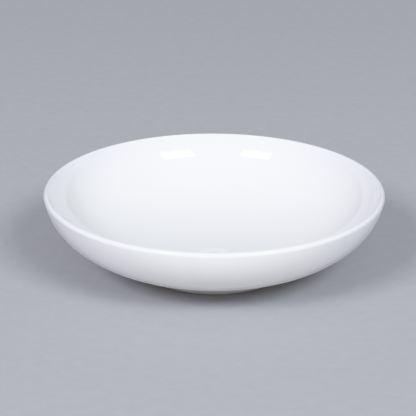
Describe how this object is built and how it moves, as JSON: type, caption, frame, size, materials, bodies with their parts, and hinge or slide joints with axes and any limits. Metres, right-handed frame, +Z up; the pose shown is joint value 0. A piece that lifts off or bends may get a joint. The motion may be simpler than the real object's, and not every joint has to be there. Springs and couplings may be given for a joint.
{
  "type": "coupe bowl",
  "caption": "Round glazed porcelain coupe bowl with a wide shallow hollow, a wall in one sweep, a plain rounded lip and a low foot ring, for serving food.",
  "frame": {"origin": "on the bowl's axis, in the plane that the foot ring stands on", "axes": "+Z up along the bowl's axis, out of the hollow; +X and +Y are any two level directions, because the bowl is round"},
  "size_m": [0.21, 0.21, 0.051],
  "materials": {
    "bare_porcelain": "fired, unglazed and smoothed, matte",
    "white_glaze": "clear gloss over white porcelain"
  },
  "bodies": {
    "root": {"porcelain_body": "bare_porcelain", "glaze_coat": "white_glaze", "foot_well_glaze": "white_glaze"}
  },
  "joints": []
}
